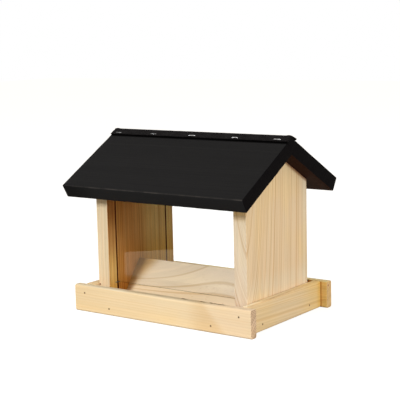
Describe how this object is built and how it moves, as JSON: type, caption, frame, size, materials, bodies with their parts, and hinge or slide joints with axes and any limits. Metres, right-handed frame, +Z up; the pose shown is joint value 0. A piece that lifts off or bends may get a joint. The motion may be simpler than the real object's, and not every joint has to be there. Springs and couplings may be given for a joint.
{
  "type": "bird table",
  "caption": "Small wooden bird table: a seed hopper between clear panes feeds a railed tray under a pitched roof, whose front half lifts on a strip along the ridge.",
  "frame": {"origin": "middle of the underside, where it stands", "axes": "+X along the ridge to the right, -Y to the front with the lid, +Z up"},
  "size_m": [0.3, 0.2346, 0.2498],
  "materials": {
    "floor_wood": "bare planed pine",
    "rail_wood": "bare planed pine",
    "wall_wood": "bare planed pine",
    "divider_wood": "bare plywood",
    "roof_stain": "matt black stain",
    "ridge_strip": "matt black",
    "clear_pane": "clear sheet",
    "nail_steel": "dull",
    "staple_steel": "bright zinc"
  },
  "bodies": {
    "feeder": {"floor_board": "floor_wood", "front_rail": "rail_wood", "back_rail": "rail_wood", "left_end_rail": "rail_wood", "right_end_rail": "rail_wood", "left_wall": "wall_wood", "right_wall": "wall_wood", "divider_front_board": "divider_wood", "divider_back_board": "divider_wood", "roof_back_board": "roof_stain", "ridge_strip_back_flap": "ridge_strip", "front_rail_nails": "nail_steel", "back_rail_nails": "nail_steel", "left_rail_nails": "nail_steel", "right_rail_nails": "nail_steel", "wall_nails": "nail_steel", "roof_nails": "nail_steel", "divider_pins": "nail_steel", "roof_back_staples": "staple_steel", "pane_stop_staples": "staple_steel"},
    "roof_lid": {"roof_front_board": "roof_stain", "ridge_strip_front_flap": "ridge_strip", "lid_staples": "staple_steel"},
    "front_pane": {"front_pane": "clear_pane"},
    "back_pane": {"back_pane": "clear_pane"}
  },
  "joints": [
    {"name": "lid_hinge", "type": "hinge", "parent": "feeder", "child": "roof_lid", "pos_m": [0, 0, 0.24983], "axis": [-1, 0, 0], "range_deg": [0, 230]},
    {"name": "front_pane_slide", "type": "slide", "parent": "feeder", "child": "front_pane", "axis": [0, 0, 1], "range_m": [0, 0.0075]},
    {"name": "back_pane_slide", "type": "slide", "parent": "feeder", "child": "back_pane", "axis": [0, 0, 1], "range_m": [0, 0.0075]}
  ]
}
